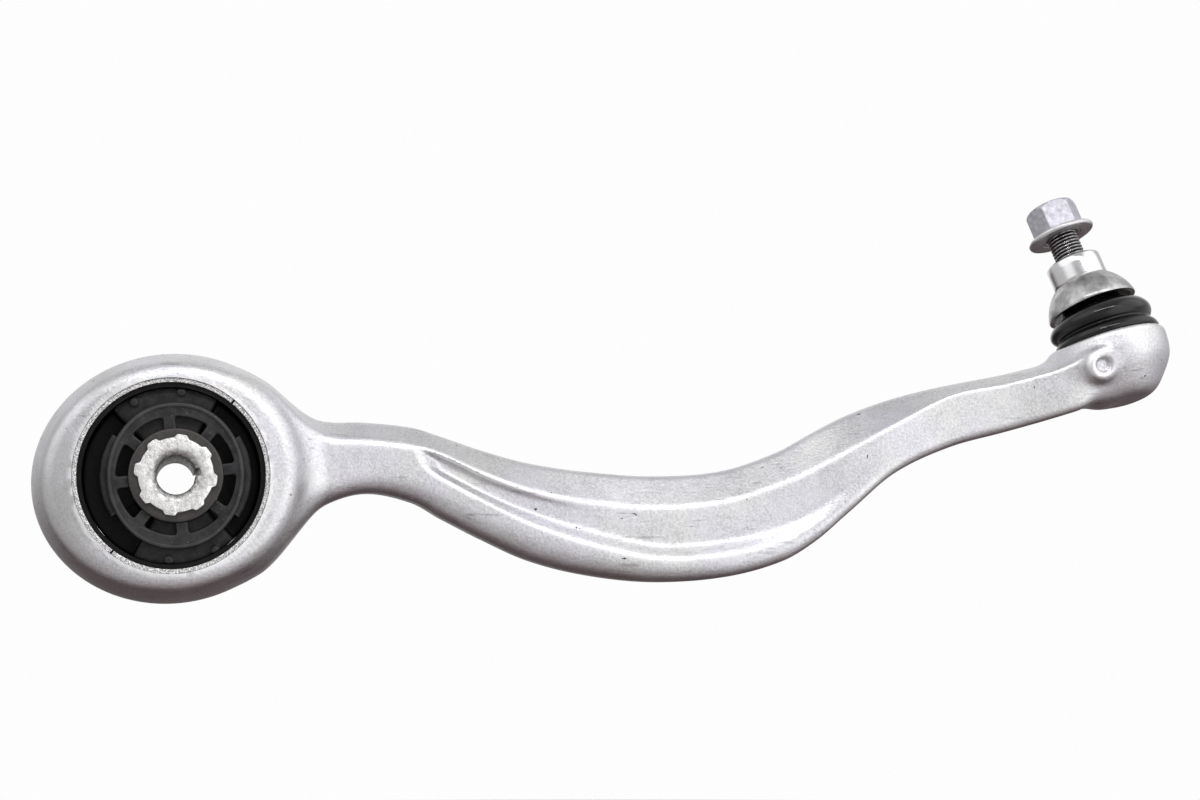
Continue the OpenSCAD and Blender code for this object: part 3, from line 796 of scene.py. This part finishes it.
def forged_finish():
    """Blasted forged aluminium: a coarse sparkling grain, faint lilac clouds, sharp edges painted near white as
    a highlight, handling scratches and dark nicks, and painted shade that greys the eye's far end."""
    f = Finish("forged aluminium", Metallic=1.0)
    cloud = f.ranged(f.noise(26, 2), 0.35, 0.65)
    grain = f.noise(1.1, 4, rough=0.75)
    patchy = f.ranged(f.noise(16, 4, rough=0.6), 0.35, 0.65)
    shade = f.ranged(grain, 0.34, 0.66)
    plain = f.mixed(cloud, (0.80, 0.80, 0.80), (0.785, 0.775, 0.825))
    dull = f.mixed(cloud, (0.47, 0.465, 0.47), (0.48, 0.47, 0.495))
    mottled = f.math("ADD", f.math("MULTIPLY", patchy, 0.5), 0.5)
    tone = f.mixed(f.math("MULTIPLY", mottled, shade), plain, dull)
    fleck = f.ranged(f.noise(0.9, 3, rough=0.7), 0.64, 0.72)
    fleck_zone = f.ranged(f.noise(14, 2), 0.5, 0.6)
    nick = f.ranged(f.noise(4.5, 2, distortion=0.6), 0.735, 0.755)
    scratch = f.ranged(f.noise(2.6, 3, stretch=((0.12, 1, 1), (0.3, 0.5, 0.4))), 0.62, 0.67)
    scratch_zone = f.ranged(f.noise(22, 1), 0.5, 0.6)
    tone = f.mixed(f.math("MULTIPLY", fleck, fleck_zone), tone, (0.28, 0.27, 0.28))
    scratched = f.math("MULTIPLY", f.math("MULTIPLY", scratch, scratch_zone), 0.6)
    tone = f.mixed(scratched, tone, (0.33, 0.32, 0.33))
    # Painted shade: the forging is greyed towards the eye's far end, below x = 0, standing in for dimmer light
    # there.
    split = f.add("ShaderNodeSeparateXYZ")
    f.link(f.place, split.inputs[0])
    along = f.math("ADD", split.outputs[0], f.ranged(cloud, 0, 1, -0.015, 0.015))
    painted_shade_far_end = f.ranged(along, -0.055, 0.0, 0.55, 0)
    tone = f.mixed(painted_shade_far_end, tone, (0.42, 0.415, 0.42))
    # Painted highlight: sharp edges are painted near white and made a little glossier, for the light lines
    # along them.
    edge = f.ranged(f.pointiness(), 0.508, 0.545, 0, 0.75)
    tone = f.mixed(edge, tone, (0.95, 0.95, 0.96))
    f.color(f.mixed(nick, tone, (0.10, 0.08, 0.08)))
    f.rough(f.math("SUBTRACT", f.ranged(f.noise(7, 4), 0.3, 0.7, 0.33, 0.45), f.math("MULTIPLY", edge, 0.08)))
    return f.relief((grain, 0.15), (f.noise(5, 3), 0.1), (nick, -0.08), (scratch, -0.02))


def shell_finish():
    """The half shells' aluminium, with a coarse, bright sawn edge."""
    f = Finish("shell aluminium", Metallic=1.0)
    pit = f.ranged(f.noise(0.7, 3, rough=0.7), 0.42, 0.62)
    f.color(f.mixed(pit, (0.30, 0.29, 0.29), (0.92, 0.91, 0.91)))
    f.rough(f.ranged(pit, 0, 1, 0.5, 0.28))
    return f.relief((pit, 0.09), (f.noise(2.4, 3), 0.08))


def sleeve_finish():
    """Rough cast aluminium, darker and pitted round the bore."""
    f = Finish("cast sleeve", Metallic=0.9)
    split = f.add("ShaderNodeSeparateXYZ")
    f.link(f.place, split.inputs[0])
    across, up = (f.math("POWER", split.outputs[i], 2.0) for i in (0, 2))
    radius = f.math("POWER", f.math("ADD", across, up), 0.5)
    ragged = f.math("ADD", radius, f.ranged(f.noise(3, 3), 0, 1, -0.0022, 0.0022))
    near_bore = f.ranged(ragged, 0.0085, 0.0122, 1, 0)
    mottle = f.ranged(f.noise(1.7, 4, rough=0.7), 0.36, 0.6)
    light = f.mixed(mottle, (0.56, 0.55, 0.54), (0.88, 0.88, 0.87))
    dark = f.mixed(mottle, (0.16, 0.15, 0.15), (0.52, 0.51, 0.50))
    f.color(f.mixed(near_bore, light, dark))
    f.rough(f.ranged(mottle, 0, 1, 0.55, 0.36))
    return f.relief((mottle, 0.08), (f.noise(2.8, 3), 0.16))


PAINTED_SHADE_FULL, PAINTED_SHADE_CLEAR = 19.0, 22.5  # distances from the bush's middle between which painted shade fades from black to the rubber's own colour


def rubber_finish(name, dark, pale, roughness, wear=0.5, edge_highlight=0.5):
    """Moulded rubber or glass-filled plastic: charcoal with dusty patches, a fine skin, sharp edges painted
    paler as a highlight, and painted shade that turns it black deep inside the bush."""
    f = Finish(name, Metallic=0.0, Specular_IOR_Level=0.14)
    dust = f.ranged(f.noise(6, 5, rough=0.65), 0.42, 0.7)
    speck = f.ranged(f.noise(0.8, 2), 0.7, 0.76, 0, wear)
    split = f.add("ShaderNodeSeparateXYZ")
    f.link(f.place, split.inputs[0])
    out_from_middle = f.math("ABSOLUTE", split.outputs[1], 0.0)
    # Painted shade: the rubber is painted black where it lies deep inside the bush, between the chamber walls.
    clear_of_painted_shade = f.ranged(out_from_middle, PAINTED_SHADE_FULL * MM, PAINTED_SHADE_CLEAR * MM)
    skin = f.mixed(speck, f.mixed(dust, dark, pale), (0.22, 0.21, 0.21))
    # Painted highlight: sharp edges are painted paler, for the light that catches them.
    skin = f.mixed(f.ranged(f.pointiness(), 0.515, 0.57, 0, edge_highlight), skin, (0.13, 0.13, 0.13))
    f.color(f.mixed(clear_of_painted_shade, (0.003, 0.003, 0.003), skin))
    f.rough(f.ranged(f.noise(3, 4), 0.3, 0.7, roughness - 0.06, roughness + 0.08))
    return f.relief((f.noise(0.6, 2), 0.02), (f.noise(4, 3), 0.05))


def boot_finish():
    """Smooth chloroprene: semi-gloss, with faint mould marks."""
    f = Finish("boot rubber", Metallic=0.0, Coat_Weight=0.8, Coat_Roughness=0.16, Specular_IOR_Level=0.05)
    dust = f.ranged(f.noise(9, 5, rough=0.6), 0.45, 0.75)
    speck = f.ranged(f.noise(1.3, 2), 0.76, 0.79)
    f.color(f.mixed(speck, f.mixed(dust, (0.003, 0.003, 0.0032), (0.010, 0.0097, 0.010)), (0.35, 0.34, 0.33)))
    f.rough(f.ranged(f.noise(5, 3), 0.3, 0.7, 0.22, 0.34))
    return f.relief((f.noise(0.9, 3), 0.012), (f.noise(8, 2), 0.06))


def steel_finish(name, dark, pale, low, high, size=5, pit_depth=0.02):
    """Steel: a mottled tone, a spread of roughness and faint tool marks."""
    f = Finish(name, Metallic=1.0)
    mottle = f.ranged(f.noise(size, 5, rough=0.65), 0.35, 0.65)
    f.color(f.mixed(mottle, dark, pale))
    f.rough(f.ranged(f.noise(size * 0.7, 4), 0.3, 0.7, low, high))
    return f.relief((f.noise(0.5, 3), pit_depth), (f.noise(4, 2), 0.03))


def stud_finish():
    """A ground and polished shank, and a dark steel thread whose roots are painted black as shade and whose
    crests are painted paler as glints.
    """
    f = Finish("stud steel", Metallic=1.0)
    height, radius = f.about(BALL, STUD_AXIS)
    mottle = f.ranged(f.noise(8, 5, rough=0.65), 0.35, 0.65)
    on_thread = f.ranged(height, SHANK_TOP * MM, (SHANK_TOP + 0.3) * MM)
    # Painted shade and highlight: the thread's roots are painted near black and its crests paler, by distance
    # from the stud's axis.
    crest_glint_root_shade = f.ranged(f.math("ADD", radius, f.ranged(f.noise(1.5, 3), 0, 1, -0.0002, 0.0002)), 0.0062, 0.0069)
    thread = f.mixed(crest_glint_root_shade, (0.02, 0.018, 0.018), (0.52, 0.51, 0.51))
    f.color(f.mixed(on_thread, f.mixed(mottle, (0.68, 0.68, 0.68), (0.76, 0.76, 0.77)), thread))
    f.rough(f.ranged(f.noise(5, 4), 0.3, 0.7, 0.12, 0.2))
    return f.relief((f.noise(0.5, 3), 0.006), (f.noise(4, 2), 0.02))


def nylon_finish():
    f = Finish("race nylon", Metallic=0.0)
    f.color(f.mixed(f.noise(5, 3), (0.62, 0.60, 0.54), (0.72, 0.70, 0.64)))
    f.rough(f.ranged(f.noise(2, 3), 0.3, 0.7, 0.38, 0.5))
    return f.relief((f.noise(0.8, 2), 0.02))


# ---------------------------------------------------------------- putting the pieces on the bodies

def piece(obj, finish, body=None, nodes=()):
    obj.data.materials.clear()
    obj.data.materials.append(finish)
    if body:
        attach(obj, body)
    if nodes:
        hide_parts(*nodes)
    return obj


FORGED = forged_finish()
SHELL = shell_finish()
SLEEVE = sleeve_finish()
RUBBER = rubber_finish("bush rubber", (0.016, 0.016, 0.017), (0.036, 0.036, 0.037), 0.45, 0.5, 0.25)
CAGE = rubber_finish("cage plastic", (0.004, 0.004, 0.004), (0.009, 0.009, 0.009), 0.5, 0.3, 0)
PLASTIC = rubber_finish("charcoal plastic", (0.024, 0.024, 0.026), (0.050, 0.049, 0.050), 0.42, 0.8)
HUB = rubber_finish("hub bond", (0.034, 0.028, 0.027), (0.056, 0.048, 0.046), 0.42)
BOOT_RUBBER = boot_finish()
STUD_STEEL = stud_finish()
COLLAR_STEEL = steel_finish("collar steel", (0.30, 0.30, 0.30), (0.62, 0.61, 0.60), 0.26, 0.4, 5, 0.05)
RING_STEEL = steel_finish("ring steel", (0.5, 0.5, 0.5), (0.62, 0.62, 0.62), 0.3, 0.4)
NUT_ZINC = steel_finish("nut zinc", (0.44, 0.43, 0.48), (0.63, 0.62, 0.67), 0.45, 0.6, 2.5, 0.05)
WASHER_ZINC = steel_finish("washer zinc", (0.60, 0.59, 0.60), (0.78, 0.77, 0.78), 0.36, 0.5, 3, 0.04)
NYLON = nylon_finish()

ARM_STEP = 1.15
SOFT_STEP = 0.7
DISC_STEP = 0.55

forging = field_object("forging", forging_field, (-63, -31, -56), (442, 31, 90), ARM_STEP,
                       (eye_field, bore_field))
piece(forging, FORGED, "arm", ["arm_forging"])

upper_span = (SLITS[0] + SLIT_HALF, SLITS[1] - SLIT_HALF)
lower_span = (SLITS[1] + SLIT_HALF, SLITS[0] + 360 - SLIT_HALF)
piece(half_shell("shell_upper", upper_span), SHELL, "arm",
      ["bush_half_shell_upper"])
piece(half_shell("shell_lower", lower_span), SHELL, "arm",
      ["bush_half_shell_lower"])
piece(inner_sleeve(), SLEEVE, "bush_core", ["bush_inner_sleeve"])
piece(hub_ring(), HUB, "bush_core", ["bush_hub_ring"])
for label, side in (("front", -1), ("rear", 1)):
    reach = side * DISC_Y
    disc = field_object("window_plate_" + label, window_disc_field,
                        (-32, reach - 3, -32), (32, reach + 3, 32), DISC_STEP)
    piece(disc, PLASTIC, "bush_core", ["window_disc_" + label])
for label, middle in (("inboard", 180), ("outboard", 0)):
    for end, side in (("front", 1), ("rear", -1)):
        block = bumper(f"bumper_{label}_{end}", middle, side)
        piece(block, RUBBER, "bush_core", ["bush_bumper_" + label])

inner_rubber = field_object(
    "rubber_legs_inner", lambda x, y, z: np.maximum(rubber_field(x, y, z), np.hypot(x, z) - RUBBER_SEAM_R),
    (-38, -26.5, -38), (38, 26.5, 38), SOFT_STEP)
outer_rubber = field_object(
    "rubber_legs_outer", lambda x, y, z: np.maximum(rubber_field(x, y, z), RUBBER_SEAM_R - np.hypot(x, z)),
    (-39, -26.5, -38), (38, 26.5, 38), SOFT_STEP)
for obj, a, b, start, end in (
    (inner_rubber, "bush_core", "bush_spring", HUB_R + 0.5, RUBBER_SEAM_R - 0.5),
    (outer_rubber, "bush_spring", "arm", RUBBER_SEAM_R + 0.5, RUBBER_R - 1.5),
):
    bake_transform(obj)
    piece(obj, RUBBER, None, ["bush_rubber_spring"])

piece(ball_stud(), STUD_STEEL, "stud", ["ball_stud"])
piece(dome_collar(), COLLAR_STEEL, "stud", ["dome_collar"])
piece(flange_washer(), WASHER_ZINC, "washer", ["nut_washer"])
piece(flange_nut(), NUT_ZINC, "nut", ["hex_nut"])

bellows, cuff = dust_boot()
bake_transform(bellows)
piece(bellows, BOOT_RUBBER, None, ["dust_boot"])
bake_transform(cuff)
piece(cuff, BOOT_RUBBER, None, ["dust_boot"])

for node, finish in (
    ("bush_window_cage", CAGE), ("fluid_track_upper", CAGE), ("fluid_track_lower", CAGE),
    ("ball_race", NYLON), ("boot_slide_ring", NYLON), ("socket_closing_ring", RING_STEEL),
    ("boot_base_ring", RING_STEEL),
):
    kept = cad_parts[node]
    kept.data.materials.clear()
    kept.data.materials.append(finish)


# ---------------------------------------------------------------- light, floor and camera

def lobe(tree, direction, width, edge):
    """A soft-edged round patch of sky, `width` degrees in radius, as a value from 0 to 1."""
    place = tree.nodes.new("ShaderNodeTexCoord")
    dot = tree.nodes.new("ShaderNodeVectorMath")
    dot.operation = "DOT_PRODUCT"
    dot.inputs[1].default_value = Vector(direction).normalized()
    tree.links.new(place.outputs["Generated"], dot.inputs[0])
    node = tree.nodes.new("ShaderNodeMapRange")
    node.interpolation_type = "SMOOTHSTEP"
    node.inputs["From Min"].default_value = math.cos(math.radians(width + edge))
    node.inputs["From Max"].default_value = math.cos(math.radians(max(width - edge, 0.5)))
    tree.links.new(dot.outputs["Value"], node.inputs["Value"])
    return node.outputs["Result"]


def towards(azimuth, elevation):
    """Direction at an azimuth from the front, positive to the right, and an elevation."""
    a, e = math.radians(azimuth), math.radians(elevation)
    return (math.sin(a) * math.cos(e), -math.cos(a) * math.cos(e), math.sin(e))


def studio():
    """A pale room: dim pinkish underfoot, a bright wall behind, a dim gap in front, soft boxes at the sides."""
    world = bpy.data.worlds.new("studio")
    bpy.context.scene.world = world
    world.use_nodes = True
    tree = world.node_tree
    tree.nodes.clear()
    place = tree.nodes.new("ShaderNodeTexCoord")
    split = tree.nodes.new("ShaderNodeSeparateXYZ")
    tree.links.new(place.outputs["Generated"], split.inputs[0])
    ramp = tree.nodes.new("ShaderNodeValToRGB")
    stops = [(0.0, (0.34, 0.29, 0.29)), (0.02, (0.40, 0.35, 0.35)), (0.12, (0.50, 0.47, 0.47)),
             (0.25, (0.57, 0.56, 0.56)), (0.5, (0.62, 0.62, 0.62)), (0.8, (0.62, 0.62, 0.63)),
             (1.0, (0.56, 0.56, 0.57))]
    for _ in stops[2:]:
        ramp.color_ramp.elements.new(0.5)
    for element, (at, tone) in zip(ramp.color_ramp.elements, stops):
        element.position = at
        element.color = (*tone, 1)
    height = tree.nodes.new("ShaderNodeMapRange")
    height.inputs["From Min"].default_value = -1
    tree.links.new(split.outputs[2], height.inputs["Value"])
    tree.links.new(height.outputs["Result"], ramp.inputs["Fac"])
    light = ramp.outputs["Color"]
    patches = [
        (towards(180, -40), 52, 15, (0.11, 0.085, 0.085)),  # dark under and behind
        (towards(180, 26), 36, 12, (0.9, 0.9, 0.9)),        # pale wall behind
        (towards(-4, 32), 28, 9, (0.46, 0.46, 0.47)),       # dim gap in front
        (towards(38, -2), 28, 16, (1.5, 1.5, 1.51)),        # right front, low
        (towards(40, 28), 18, 8, (2.1, 2.1, 2.11)),         # right front, high
        (towards(-66, 34), 28, 7, (1.3, 1.3, 1.31)),        # left soft box
        (towards(68, 34), 32, 8, (1.4, 1.4, 1.41)),         # right soft box
    ]
    for direction, width, edge, tone in patches:
        mix = tree.nodes.new("ShaderNodeMix")
        mix.data_type = "RGBA"
        tree.links.new(lobe(tree, direction, width, edge), mix.inputs[0])
        tree.links.new(light, mix.inputs[6])
        mix.inputs[7].default_value = (*tone, 1)
        light = mix.outputs[2]
    seen = tree.nodes.new("ShaderNodeBackground")
    seen.inputs["Color"].default_value = (0.985, 0.985, 0.985, 1)
    lit = tree.nodes.new("ShaderNodeBackground")
    tree.links.new(light, lit.inputs["Color"])
    path = tree.nodes.new("ShaderNodeLightPath")
    choose = tree.nodes.new("ShaderNodeMixShader")
    out = tree.nodes.new("ShaderNodeOutputWorld")
    tree.links.new(path.outputs["Is Camera Ray"], choose.inputs[0])
    tree.links.new(lit.outputs[0], choose.inputs[1])
    tree.links.new(seen.outputs[0], choose.inputs[2])
    tree.links.new(choose.outputs[0], out.inputs["Surface"])


def strip_light(name, azimuth, elevation, distance, size, power):
    """A long thin lamp aimed at the arm, for narrow highlights along edges and round the boot."""
    aim = Vector((0.25, 0, 0.05))
    data = bpy.data.lights.new(name, "AREA")
    data.shape = "RECTANGLE"
    data.size, data.size_y = size
    data.energy = power
    lamp = bpy.data.objects.new(name, data)
    bpy.context.scene.collection.objects.link(lamp)
    lamp.location = aim + Vector(towards(azimuth, elevation)) * distance
    lamp.rotation_mode = "QUATERNION"
    lamp.rotation_quaternion = (aim - lamp.location).to_track_quat("-Z", "Y")
    lamp.visible_camera = False


def floor():
    """A plain pale disc well below the object, out of its reflections."""
    f = Finish("floor", Metallic=0.0)
    f.color(f.mixed(f.noise(60, 3), (0.86, 0.85, 0.85), (0.88, 0.87, 0.87)))
    f.rough(f.ranged(f.noise(20, 2), 0, 1, 0.75, 0.85))
    angles = np.linspace(0, TURN, 128, endpoint=False)
    ring = np.stack([2400 * np.cos(angles) + 180, 2400 * np.sin(angles), np.full(128, -300.0)], 1)
    disc = mesh_object("floor", ring, [tuple(range(128))])
    disc.data.materials.append(f.material)
    disc.visible_glossy = False
    disc.visible_diffuse = False


def camera():
    target = Vector((0.1816, 0, 0.0354))
    back = Vector(towards(-9, -4.3))
    data = bpy.data.cameras.new("camera")
    data.lens, data.sensor_width = 83.13, 36
    data.clip_start, data.clip_end = 0.05, 20
    obj = bpy.data.objects.new("camera", data)
    bpy.context.scene.collection.objects.link(obj)
    obj.location = target + back * 1.2018
    obj.rotation_mode = "QUATERNION"
    obj.rotation_quaternion = (-back).to_track_quat("-Z", "Y")
    bpy.context.scene.camera = obj


studio()
strip_light("front_high", -6, 42, 1.3, (1.1, 0.03), 5)
floor()
camera()
bpy.context.scene.view_settings.view_transform = "Standard"
